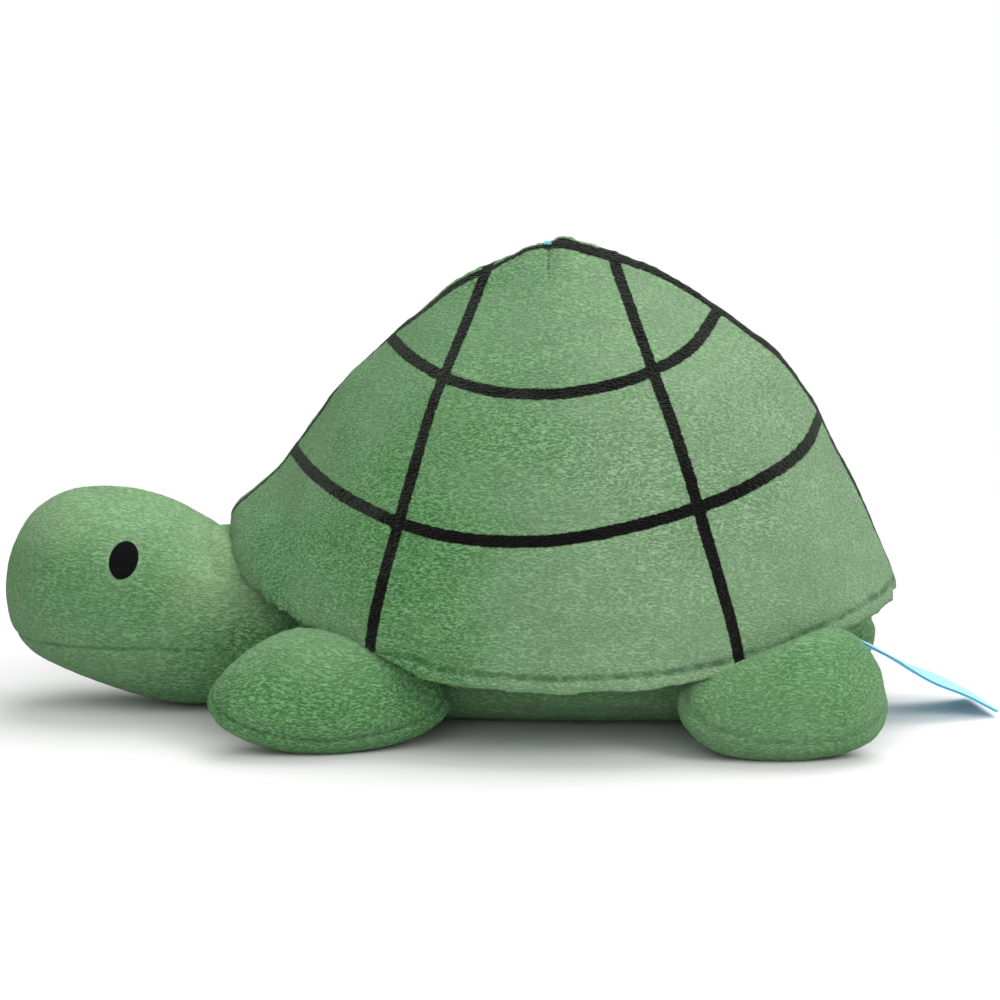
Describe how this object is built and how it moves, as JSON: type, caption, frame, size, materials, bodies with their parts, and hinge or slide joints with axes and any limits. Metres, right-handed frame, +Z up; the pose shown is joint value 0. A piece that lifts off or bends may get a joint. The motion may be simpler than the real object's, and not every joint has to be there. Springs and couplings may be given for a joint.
{
  "type": "plush turtle",
  "caption": "Stuffed soft-toy turtle in short-pile plush: tall domed shell with printed lines, round head, stub flippers and feet, and a blank satin care label.",
  "frame": {"origin": "On the floor under the middle of the footprint, halfway between the nose and the tip of the care label.", "axes": "+Z is up. -X is the way the nose points, and +X the way the care label hangs. -Y is the toy's own left side."},
  "size_m": [0.2902, 0.136, 0.1388],
  "materials": {
    "plush": "matte short pile",
    "filling": "loose fibre",
    "eye_thread": "satin stitch",
    "tack_thread": "satin thread",
    "ribbon": "satin"
  },
  "bodies": {
    "trunk": {"shell_left_panel": "plush", "shell_right_panel": "plush", "shell_underside": "plush", "shell_stuffing": "filling", "body_side_panel": "plush", "belly_panel": "plush", "body_stuffing": "filling", "thread_tack": "tack_thread"},
    "neck": {"neck_cover": "plush", "neck_stuffing": "filling"},
    "head": {"head_left_panel": "plush", "head_right_panel": "plush", "chin_panel": "plush", "head_stuffing": "filling", "left_eye": "eye_thread", "right_eye": "eye_thread"},
    "front_left_flipper": {"front_left_flipper_outer_panel": "plush", "front_left_flipper_inner_panel": "plush", "front_left_flipper_stuffing": "filling"},
    "front_right_flipper": {"front_right_flipper_outer_panel": "plush", "front_right_flipper_inner_panel": "plush", "front_right_flipper_stuffing": "filling"},
    "hind_left_foot": {"hind_left_foot_outer_panel": "plush", "hind_left_foot_inner_panel": "plush", "hind_left_foot_stuffing": "filling"},
    "hind_right_foot": {"hind_right_foot_outer_panel": "plush", "hind_right_foot_inner_panel": "plush", "hind_right_foot_stuffing": "filling"},
    "label": {"care_label": "ribbon"}
  },
  "joints": [
    {"name": "head_sway", "type": "hinge", "parent": "trunk", "child": "neck", "pos_m": [-0.0681, 0, 0.0283], "axis": [0, 0, 1], "range_deg": [-12, 12], "stiffness_Nm_per_rad": 0.3},
    {"name": "head_nod", "type": "hinge", "parent": "neck", "child": "head", "pos_m": [-0.0681, 0, 0.0283], "axis": [0, 1, 0], "range_deg": [-2, 6], "stiffness_Nm_per_rad": 1},
    {"name": "front_left_flipper_swing", "type": "hinge", "parent": "trunk", "child": "front_left_flipper", "pos_m": [-0.024, -0.04197, 0.014], "axis": [0, 0, 1], "range_deg": [-12, 12], "stiffness_Nm_per_rad": 0.1},
    {"name": "front_right_flipper_swing", "type": "hinge", "parent": "trunk", "child": "front_right_flipper", "pos_m": [-0.024, 0.04197, 0.014], "axis": [0, 0, -1], "range_deg": [-12, 12], "stiffness_Nm_per_rad": 0.1},
    {"name": "hind_left_foot_swing", "type": "hinge", "parent": "trunk", "child": "hind_left_foot", "pos_m": [0.0815, -0.03856, 0.014], "axis": [0, 0, 1], "range_deg": [-8, 8], "stiffness_Nm_per_rad": 0.1},
    {"name": "hind_right_foot_swing", "type": "hinge", "parent": "trunk", "child": "hind_right_foot", "pos_m": [0.0815, 0.03856, 0.014], "axis": [0, 0, -1], "range_deg": [-8, 8], "stiffness_Nm_per_rad": 0.1},
    {"name": "label_lift", "type": "hinge", "parent": "trunk", "child": "label", "pos_m": [0.1013, 0, 0.0236], "axis": [0.2588, -0.9659, 0], "range_deg": [0, 45], "stiffness_Nm_per_rad": 0.002}
  ]
}
